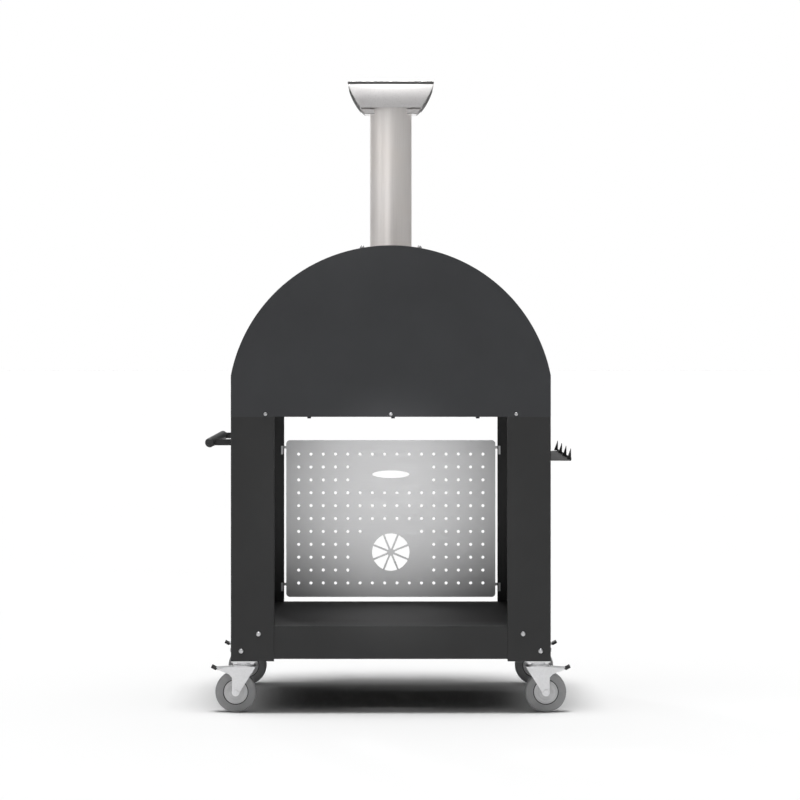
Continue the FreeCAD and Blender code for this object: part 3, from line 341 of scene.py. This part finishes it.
def make_materials():
    """One finish for each of the record's material slots."""
    satin = (0.87, 0.835, 0.815)
    bright = (0.88, 0.86, 0.855)
    mirror = (0.66, 0.65, 0.645)
    even = (500, 500, 500)
    warm = (1.02, 0.99, 0.95)
    return {
        "powder_coat": powder_coat("anthracite_powder", (0.051, 0.0522, 0.0555), 0.56, 0.28),
        "stand_coat": powder_coat("stand_powder", (0.0395, 0.0395, 0.0399), 0.56, 0.28),
        "handle_black": powder_coat("black_powder", (0.040, 0.040, 0.0406), 0.46, 0.4),
        "bright_fastener": fastener("bright_fastener", (0.66, 0.66, 0.67), 0.30),
        "dark_fastener": fastener("black_oxide", (0.05, 0.05, 0.055), 0.42),
        "zinc_plate": zinc("zinc_plate", (0.90, 0.90, 0.91)),
        "brushed_stainless": brushed_steel("brushed_sheet", (0.50, 0.50, 0.505), 0.46, (9, 900, 900)),
        "satin_stainless": brushed_steel("satin_sheet", satin, 0.50, (700, 700, 7), 0.004, warm, 0.75),
        "polished_stainless": brushed_steel("bright_sheet", bright, 0.30, even, 0.001, metallic=0.42),
        "cap_steel": brushed_steel("mirror_sheet", mirror, 0.14, even, 0.001, metallic=0.85),
        "chamber_steel": heat_tinted_steel(),
        "ceramic_fibre": fibre("ceramic_wool", (0.88, 0.87, 0.83), (0.66, 0.64, 0.58)),
        "insulation_board": fibre("pressed_board", (0.78, 0.75, 0.67), (0.60, 0.56, 0.48)),
        "refractory": refractory(),
        "wheel_plastic": moulded_plastic("wheel_nylon", (0.70, 0.70, 0.705)),
        "grey_rubber": rubber("grey_rubber", (0.34, 0.34, 0.344), (0.40, 0.398, 0.395)),
        "dark_rubber": rubber("dark_rubber", (0.030, 0.030, 0.031), (0.05, 0.05, 0.05)),
        "dial_face": enamel("dial_white", (0.84, 0.84, 0.82), (0.76, 0.76, 0.73)),
        "needle_paint": enamel("signal_red", (0.50, 0.025, 0.015), (0.40, 0.02, 0.012)),
        "dial_glass": dial_glass(),
    }


def paint_frame(finishes):
    """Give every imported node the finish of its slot; some nodes have a variant of it."""
    for part in frame["record"]["subparts"]:
        mesh = NODES[part["node"]].data
        mesh.materials.clear()
        mesh.materials.append(finishes[VARIANTS.get(part["node"], part["material_slot"])])


# ---- mesh helpers ------------------------------------------------------------------
def piece(name, shape, finish, body):
    """Turn a bmesh into a piece that rides on a body."""
    mesh = bpy.data.meshes.new(name)
    bmesh.ops.recalc_face_normals(shape, faces=shape.faces)
    shape.to_mesh(mesh)
    shape.free()
    obj = bpy.data.objects.new(name, mesh)
    bpy.context.scene.collection.objects.link(obj)
    mesh.materials.append(finish)
    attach(obj, body)
    return obj


def smooth(obj, angle=40):
    for polygon in obj.data.polygons:
        polygon.use_smooth = True
    obj.data.set_sharp_from_angle(angle=math.radians(angle))
    return obj


def bevelled(obj, width, segments=2):
    modifier = obj.modifiers.new("rounded", "BEVEL")
    modifier.width = width
    modifier.segments = segments
    modifier.limit_method = "ANGLE"
    return obj


def add_ring(shape, centre, axis, radius, section, steps=72):
    """Closed ring of an outline of (radial, axial) offsets, turned about an axis through centre."""
    turn = Vector((0, 0, 1)).rotation_difference(Vector(axis)).to_matrix()
    loops = []
    for i in range(steps):
        a = 2 * math.pi * i / steps
        places = [((radius + out) * math.cos(a), (radius + out) * math.sin(a), along)
                  for out, along in section]
        loops.append([shape.verts.new(Vector(centre) + turn @ Vector(place)) for place in places])
    count = len(section)
    for i in range(steps):
        here, after = loops[i], loops[(i + 1) % steps]
        for k in range(count):
            shape.faces.new((here[k], after[k], after[(k + 1) % count], here[(k + 1) % count]))


def round_section(radius, steps=10):
    angles = [2 * math.pi * i / steps for i in range(steps)]
    return [(radius * math.cos(a), radius * math.sin(a)) for a in angles]


def add_prism(shape, outline, depth):
    """Solid between an outline of points and its copy moved by depth."""
    near = [shape.verts.new(Vector(p)) for p in outline]
    far = [shape.verts.new(Vector(p) + Vector(depth)) for p in outline]
    shape.faces.new(near)
    shape.faces.new(list(reversed(far)))
    count = len(outline)
    for i in range(count):
        shape.faces.new((near[i], far[i], far[(i + 1) % count], near[(i + 1) % count]))


def add_tube(shape, points, radius, steps=8):
    """Closed tube of a round section that follows a loop of points."""
    count = len(points)
    loops = []
    for i, point in enumerate(points):
        ahead = (points[(i + 1) % count] - points[i - 1]).normalized()
        turn = ahead.to_track_quat("Z", "Y")
        places = [point + turn @ Vector((a, b, 0)) for a, b in round_section(radius, steps)]
        loops.append([shape.verts.new(place) for place in places])
    for i in range(count):
        here, after = loops[i], loops[(i + 1) % count]
        for k in range(steps):
            shape.faces.new((here[k], here[(k + 1) % steps], after[(k + 1) % steps], after[k]))


def solids(node):
    """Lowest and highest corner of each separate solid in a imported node."""
    shape = bmesh.new()
    shape.from_mesh(NODES[node].data)
    bmesh.ops.remove_doubles(shape, verts=shape.verts, dist=1e-6)
    left = set(shape.verts)
    boxes = []
    while left:
        reached = [left.pop()]
        members = list(reached)
        while reached:
            for edge in reached.pop().link_edges:
                for vert in edge.verts:
                    if vert in left:
                        left.remove(vert)
                        reached.append(vert)
                        members.append(vert)
        places = [v.co for v in members]
        boxes.append((Vector(map(min, *places)), Vector(map(max, *places))))
    shape.free()
    return sorted(boxes, key=lambda b: tuple(round(c, 5) for c in b[0]))


def centre_of(node):
    low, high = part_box(node)
    return (low + high) / 2


# ---- casters -----------------------------------------------------------------------
# Profiles in millimetres: outwards from the pedal's tip or rib's foot, and up
PAD_PROFILE = ((-18.6, -8.0), (-13.6, -12.9), (1.0, -5.5), (-1.4, 1.1))
RIB_PROFILE = ((-0.8, -0.7), (-1.1, 0.4), (-0.2, 0.9), (0.7, 0.3))
PAD_HALF = 19.2 * MM
PAD_RIBS = 4
FIRST_RIB, LAST_RIB = 0.18, 0.82
RIB_INSET = 2 * MM
SEAL_INSET = 4.6 * MM
SEAL_RADIUS = 1.5 * MM
# Size and sink of the dark ring of painted groove shade on each tyre
GROOVE_SHADE_RADIUS = 1.3 * MM
GROOVE_SHADE_SINK = 0.6 * MM
COVER_BORE = 13.4 * MM
COVER_GAP = 4.5 * MM
COVER_SINK = 2.2 * MM
COVER_BACK = 1 * MM


def pedal_pads(finishes):
    """Ribbed black sleeves on the tips of the brake pedals."""
    for corner in CORNERS:
        low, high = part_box(f"brake_pedal_{corner}")
        out = 1 if centre_of(f"brake_pedal_{corner}").x > 0 else -1
        tip = high.x if out > 0 else low.x
        start = (low.y + high.y) / 2 - PAD_HALF
        shape = bmesh.new()
        outline = [(tip + out * a * MM, start, high.z + b * MM) for a, b in PAD_PROFILE]
        add_prism(shape, outline, (0, 2 * PAD_HALF, 0))
        inner, outer = Vector(PAD_PROFILE[0]), Vector(PAD_PROFILE[-1])
        for i in range(PAD_RIBS):
            a, b = inner.lerp(outer, FIRST_RIB + (LAST_RIB - FIRST_RIB) * i / (PAD_RIBS - 1))
            foot = Vector((tip + out * a * MM, start + RIB_INSET, high.z + b * MM))
            rib = [foot + Vector((out * u * MM, 0, w * MM)) for u, w in RIB_PROFILE]
            add_prism(shape, rib, (0, 2 * (PAD_HALF - RIB_INSET), 0))
        pad = piece(f"pedal_pad_{corner}", shape, finishes["handle_black"], f"pedal_{corner}")
        bevelled(pad, 0.6 * MM)


def race_seals(finishes):
    """Dark dust seals between each caster's fork and its top plate."""
    for corner in CORNERS:
        pivot = Vector(JOINTS[f"swivel_{corner}"]["pos_m"])
        low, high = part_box(f"caster_fork_{corner}")
        radius = (high.y - low.y) / 2 - SEAL_INSET
        shape = bmesh.new()
        add_ring(shape, (pivot.x, pivot.y, high.z), (0, 0, 1), radius, round_section(SEAL_RADIUS))
        seal = piece(f"race_seal_{corner}", shape, finishes["dark_rubber"], "base")
        smooth(seal)


def wheel_groove_shade(finishes):
    """Dark rubber ring where each tyre meets its core, on both faces of the wheel: painted shade for the
    groove between them.
    """
    for corner in CORNERS:
        hub = Vector(JOINTS[f"wheel_spin_{corner}"]["pos_m"])
        low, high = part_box(f"wheel_core_{corner}")
        tyre_low, tyre_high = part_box(f"tyre_{corner}")
        radius = (high.z - low.z) / 2
        shape = bmesh.new()
        for face in (tyre_low.y + GROOVE_SHADE_SINK, tyre_high.y - GROOVE_SHADE_SINK):
            add_ring(shape, (hub.x, face, hub.z), (0, 1, 0), radius, round_section(GROOVE_SHADE_RADIUS), steps=96)
        finish = finishes["dark_rubber"]
        # painted shade: a dark rubber ring put in the groove between tyre and core, where only shade falls
        groove_shade = piece(f"tyre_groove_shade_{corner}", shape, finish, f"wheel_{corner}")
        smooth(groove_shade)


def wheel_covers(finishes):
    """Ringed dust covers between hub and rim, on both faces of each wheel."""
    for corner in CORNERS:
        hub = Vector(JOINTS[f"wheel_spin_{corner}"]["pos_m"])
        low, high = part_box(f"wheel_core_{corner}")
        inner, outer = COVER_BORE, (high.z - low.z) / 2 - COVER_GAP
        middle = (outer + inner) / 2
        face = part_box(f"tyre_{corner}")[1].y - hub.y - COVER_SINK
        front = [(inner, 0), (inner + 3 * MM, 1.2), (middle - 1 * MM, 0.4)]
        front += [(middle, 1.1), (outer - 2 * MM, 1.4), (outer, 0.3)]
        shape = bmesh.new()
        for side in (-1, 1):
            section = [(r - middle, side * (face + rise * MM)) for r, rise in front]
            section += [(r - middle, side * (face - COVER_BACK)) for r, rise in reversed(front)]
            add_ring(shape, hub, (0, 1, 0), middle, section, steps=64)
        finish = finishes["wheel_plastic"]
        cover = piece(f"wheel_cover_{corner}", shape, finish, f"wheel_{corner}")
        smooth(cover, 50)


# ---- handles and flue --------------------------------------------------------------
WELD_RADIUS = 1.3 * MM
WELD_HALF_WIDTH = 4.4 * MM
WELD_PAST_ARM = 0.4 * MM
WELD_STEPS = 12
SEAM_HALF_WIDTH = 1.6 * MM
# Across the seam: share of its half width, and rise in millimetres
SEAM_SECTION = ((-1, -0.1), (-0.5, 0.22), (0, 0.3), (0.5, 0.22), (1, -0.1))
SEAM_STEPS = 40
PLATE_THICKNESS = 1.5 * MM
PLATE_INSET = 0.1 * MM
SOCKET_RADIUS = 2.3 * MM
SOCKET_DEPTH = 0.35 * MM
SOCKET_LENGTH = 0.4 * MM


def handle_welds(finishes):
    """Weld beads where the two arms meet the push handle's grip."""
    low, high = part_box("push_handle_grip")
    axis_x, axis_z = (low.x + high.x) / 2, (low.z + high.z) / 2
    radius = (high.z - low.z) / 2
    shape = bmesh.new()
    for arm_low, arm_high in solids("push_handle_arms"):
        middle = (arm_low.y + arm_high.y) / 2
        half_z = (arm_high.z - arm_low.z) / 2 + WELD_PAST_ARM
        path = []
        for side in (1, -1):
            for i in range(WELD_STEPS):
                share = 2 * i / (WELD_STEPS - 1) - 1
                path.append((middle + side * WELD_HALF_WIDTH, axis_z + side * half_z * share))
        depths = [math.sqrt(max(radius ** 2 - (z - axis_z) ** 2, 0)) for y, z in path]
        points = [Vector((axis_x - depth, y, z)) for depth, (y, z) in zip(depths, path)]
        add_tube(shape, points, WELD_RADIUS)
    beads = piece("handle_welds", shape, finishes["handle_black"], "base")
    smooth(beads, 60)


def pipe_seam(finishes):
    """Flat weld seam down the side of the flue pipe that faces the mouth."""
    low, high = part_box("flue_pipe")
    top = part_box("cowl_trough")[0].z
    radius = (high.x - low.x) / 2
    centre = centre_of("flue_pipe")
    half_angle = SEAM_HALF_WIDTH / radius
    shape = bmesh.new()
    rows = []
    for i in range(SEAM_STEPS + 1):
        z = low.z + (top - low.z) * i / SEAM_STEPS
        row = []
        for share, rise in SEAM_SECTION:
            a = -math.pi / 2 + share * half_angle
            r = radius + rise * MM * (0.85 + 0.15 * math.cos(9 * i))
            row.append(shape.verts.new((centre.x + r * math.cos(a), centre.y + r * math.sin(a), z)))
        rows.append(row)
    for below, above in zip(rows, rows[1:]):
        for k in range(len(below) - 1):
            shape.faces.new((below[k], below[k + 1], above[k + 1], above[k]))
    seam = piece("flue_seam", shape, finishes["satin_stainless"], "base")
    smooth(seam, 60)


def lobe_plates(finishes):
    """Small plates that close the ends of the cowl's two lobes, beside the pipe."""
    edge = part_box("cowl_walls")[0].z
    pipe_low, pipe_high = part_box("flue_pipe")
    centre = centre_of("flue_pipe")
    radius = (pipe_high.x - pipe_low.x) / 2
    corners = [v.co for v in NODES["cowl_trough"].data.vertices]
    places = [p for p in corners if p.z < edge + 0.5 * MM and p.x > 0]
    end = max(p.y for p in places if p.z < edge - 1 * MM)
    reach = end - centre.y
    inner = math.sqrt(radius ** 2 - reach ** 2)
    rim = {}
    for p in places:
        if abs(p.y - end) < 0.1 * MM:
            height = round(p.z, 4)
            rim[height] = max(rim.get(height, 0), p.x)
    outline = [(rim[z] - 0.2 * MM, z) for z in sorted(rim)]
    outline = [(inner, outline[0][1])] + outline + [(inner, outline[-1][1])]
    shape = bmesh.new()
    for side in (-1, 1):
        for along in (-1, 1):
            face = centre.y + along * (reach - PLATE_THICKNESS - PLATE_INSET)
            add_prism(shape, [(side * x, face, z) for x, z in outline], (0, along * PLATE_THICKNESS, 0))
    plates = piece("cowl_lobe_plates", shape, finishes["polished_stainless"], "base")
    bevelled(plates, 0.4 * MM)


def screw_sockets(finishes):
    """Hexagon sockets in the black screws of the push handle and the tool rail."""
    shape = bmesh.new()
    for low, high in solids("side_fitting_screws"):
        centre = (low + high) / 2
        out = 1 if centre.x > 0 else -1
        face = (high.x if out > 0 else low.x) - out * SOCKET_DEPTH
        angles = [math.radians(60 * i) for i in range(6)]
        outline = [(face, centre.y + SOCKET_RADIUS * math.cos(a), centre.z + SOCKET_RADIUS * math.sin(a))
                   for a in angles]
        add_prism(shape, outline, (out * SOCKET_LENGTH, 0, 0))
    sockets = piece("screw_sockets", shape, finishes["dark_fastener"], "base")
    bevelled(sockets, 0.08 * MM, 1)


# ---- thermometer -------------------------------------------------------------------
DIAL_START = math.radians(225)
DIAL_SWEEP = math.radians(270)
DIAL_STEPS = 50
LONG_TICK_EVERY = 10
MARK_DEPTH = 0.12 * MM
# The red band: its ends as shares of the sweep, and its radii as shares of the dial's
BAND_ENDS = (0.62, 0.92)
BAND_RADII = (0.985, 0.955)
BAND_STEPS = 24
NUMBERS = 6
NUMBER_RADIUS = 0.60


def dial_point(centre, radius, share, lift):
    """A point on the dial's face at a share of its sweep, lift metres in front of it."""
    angle = DIAL_START - DIAL_SWEEP * share
    return Vector((centre.x + radius * math.cos(angle), centre.y - lift, centre.z + radius * math.sin(angle)))


def dial_marks(finishes):
    """Tick marks, a baking-range band and plain numbers on the thermometer's face."""
    low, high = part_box("thermometer_dial")
    radius = (high.x - low.x) / 2
    centre = Vector((centre_of("thermometer_dial").x, low.y, centre_of("thermometer_dial").z))
    ticks = bmesh.new()
    for i in range(DIAL_STEPS + 1):
        long = i % LONG_TICK_EVERY == 0
        inner = radius * (0.78 if long else 0.85)
        half = (0.45 if long else 0.22) * MM
        start = dial_point(centre, inner, i / DIAL_STEPS, 0)
        end = dial_point(centre, radius * 0.94, i / DIAL_STEPS, 0)
        along = (end - start).normalized()
        side = along.cross(Vector((0, 1, 0))) * half
        add_prism(ticks, [start - side, end - side, end + side, start + side], (0, -MARK_DEPTH, 0))
    piece("dial_ticks", ticks, finishes["dark_fastener"], "base")
    band = bmesh.new()
    first, last = BAND_ENDS
    shares = [first + (last - first) * i / BAND_STEPS for i in range(BAND_STEPS + 1)]
    outline = [dial_point(centre, radius * BAND_RADII[0], s, 0) for s in shares]
    outline += [dial_point(centre, radius * BAND_RADII[1], s, 0) for s in reversed(shares)]
    add_prism(band, outline, (0, -MARK_DEPTH, 0))
    piece("dial_band", band, finishes["needle_paint"], "base")
    text_depth = MARK_DEPTH / 2
    for i in range(NUMBERS):
        text = bpy.data.curves.new(f"number_{i}", "FONT")
        text.body = str(100 * i)
        text.size = 5.2 * MM
        text.extrude = text_depth
        text.align_x = "CENTER"
        text.align_y = "CENTER"
        source = bpy.data.objects.new(f"number_source_{i}", text)
        bpy.context.scene.collection.objects.link(source)
        bpy.context.view_layer.update()
        mesh = bpy.data.meshes.new_from_object(source.evaluated_get(bpy.context.evaluated_depsgraph_get()))
        bpy.data.objects.remove(source)
        place = dial_point(centre, radius * NUMBER_RADIUS, i / (NUMBERS - 1), text_depth)
        mesh.transform(Matrix.Translation(place) @ Matrix.Rotation(math.radians(90), 4, "X"))
        number = bpy.data.objects.new(f"dial_number_{i}", mesh)
        bpy.context.scene.collection.objects.link(number)
        mesh.materials.clear()
        mesh.materials.append(finishes["dark_fastener"])
        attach(number, "base")


# ---- stage -------------------------------------------------------------------------
def make_floor():
    """Wide pale floor with very faint clouds."""
    s = Surface("pale_floor", Roughness=0.9, Specular_IOR_Level=0.0)
    cloud = s.noise(0.7, detail=2.0)
    s.drive("Base Color", s.mix(cloud, (0.86, 0.86, 0.86), (0.88, 0.88, 0.88)))
    shape = bmesh.new()
    bmesh.ops.create_circle(shape, cap_ends=True, segments=96, radius=90)
    mesh = bpy.data.meshes.new("floor")
    shape.to_mesh(mesh)
    shape.free()
    mesh.materials.append(s.material)
    floor = bpy.data.objects.new("floor", mesh)
    bpy.context.scene.collection.objects.link(floor)


def make_world():
    """Soft studio surround: pale overhead, darker towards the horizon, and white behind the object."""
    world = bpy.data.worlds.new("studio")
    bpy.context.scene.world = world
    world.use_nodes = True
    tree = world.node_tree
    tree.nodes.clear()
    place = tree.nodes.new("ShaderNodeTexCoord")
    split = tree.nodes.new("ShaderNodeSeparateXYZ")
    path = tree.nodes.new("ShaderNodeLightPath")
    rises = (tree.nodes.new("ShaderNodeMapRange"), tree.nodes.new("ShaderNodeMapRange"))
    rise = tree.nodes.new("ShaderNodeMix")
    for node, span, socket in zip(rises, (WORLD_RISE, MIRRORED_RISE), rise.inputs[2:4]):
        node.interpolation_type = "SMOOTHSTEP"
        node.inputs["From Min"].default_value, node.inputs["From Max"].default_value = span
        node.inputs["To Min"].default_value = WORLD_LOW
        node.inputs["To Max"].default_value = WORLD_HIGH
        tree.links.new(split.outputs["Z"], node.inputs["Value"])
        tree.links.new(node.outputs["Result"], socket)
    tree.links.new(path.outputs["Is Glossy Ray"], rise.inputs["Factor"])
    lean = tree.nodes.new("ShaderNodeMath")
    lean.operation = "MULTIPLY_ADD"
    lean.inputs[1].default_value = WORLD_SIDE
    lean.inputs[2].default_value = 1
    strength = tree.nodes.new("ShaderNodeMath")
    strength.operation = "MULTIPLY"
    surround = tree.nodes.new("ShaderNodeBackground")
    backdrop = tree.nodes.new("ShaderNodeBackground")
    mix = tree.nodes.new("ShaderNodeMixShader")
    out = tree.nodes.new("ShaderNodeOutputWorld")
    tree.links.new(place.outputs["Generated"], split.inputs["Vector"])
    tree.links.new(split.outputs["X"], lean.inputs[0])
    tree.links.new(lean.outputs["Value"], strength.inputs[0])
    tree.links.new(rise.outputs[0], strength.inputs[1])
    tree.links.new(strength.outputs["Value"], surround.inputs["Strength"])
    tree.links.new(path.outputs["Is Camera Ray"], mix.inputs["Fac"])
    tree.links.new(surround.outputs["Background"], mix.inputs[1])
    tree.links.new(backdrop.outputs["Background"], mix.inputs[2])
    tree.links.new(mix.outputs["Shader"], out.inputs["Surface"])
    surround.inputs["Color"].default_value = (1, 1, 1, 1)
    backdrop.inputs["Color"].default_value = (1, 1, 1, 1)


def make_lights():
    """A broad sun from above and the beams."""
    sun = bpy.data.lights.new("overhead", "SUN")
    sun.energy = SUN_STRENGTH
    sun.angle = SUN_ANGLE
    lamp = bpy.data.objects.new("overhead", sun)
    bpy.context.scene.collection.objects.link(lamp)
    lamp.rotation_euler = (SUN_TILT, 0, 0)
    for name in BEAMS:
        beam(name, *BEAMS[name])


def beam(name, place, node, aim, width, power):
    """Soft spotlight from a place, aimed at the back of a node at a share of its height."""
    low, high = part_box(node)
    target = Vector((0, high.y, low.z + aim * (high.z - low.z)))
    light = bpy.data.lights.new(name, "SPOT")
    light.energy = power
    light.spot_size = math.radians(width)
    light.spot_blend = 1
    light.shadow_soft_size = BEAM_RADIUS
    lamp = bpy.data.objects.new(name, light)
    bpy.context.scene.collection.objects.link(lamp)
    lamp.location = place
    lamp.rotation_euler = (target - lamp.location).to_track_quat("-Z", "Y").to_euler()
    lamp.visible_camera = False


def make_camera():
    """Level camera behind the oven, square to its back panel."""
    back_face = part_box("back_panel")[1].y
    data = bpy.data.cameras.new("camera")
    data.lens = CAMERA_LENS
    data.shift_x, data.shift_y = CAMERA_SHIFT
    camera = bpy.data.objects.new("camera", data)
    bpy.context.scene.collection.objects.link(camera)
    camera.location = (0, back_face + CAMERA_DISTANCE, CAMERA_HEIGHT)
    camera.rotation_euler = (math.radians(90), 0, math.radians(180))
    bpy.context.scene.camera = camera


def main():
    finishes = make_materials()
    paint_frame(finishes)
    pedal_pads(finishes)
    race_seals(finishes)
    wheel_groove_shade(finishes)
    wheel_covers(finishes)
    handle_welds(finishes)
    pipe_seam(finishes)
    lobe_plates(finishes)
    screw_sockets(finishes)
    dial_marks(finishes)
    make_floor()
    make_world()
    make_lights()
    make_camera()
    bpy.context.scene.view_settings.view_transform = "Standard"


main()
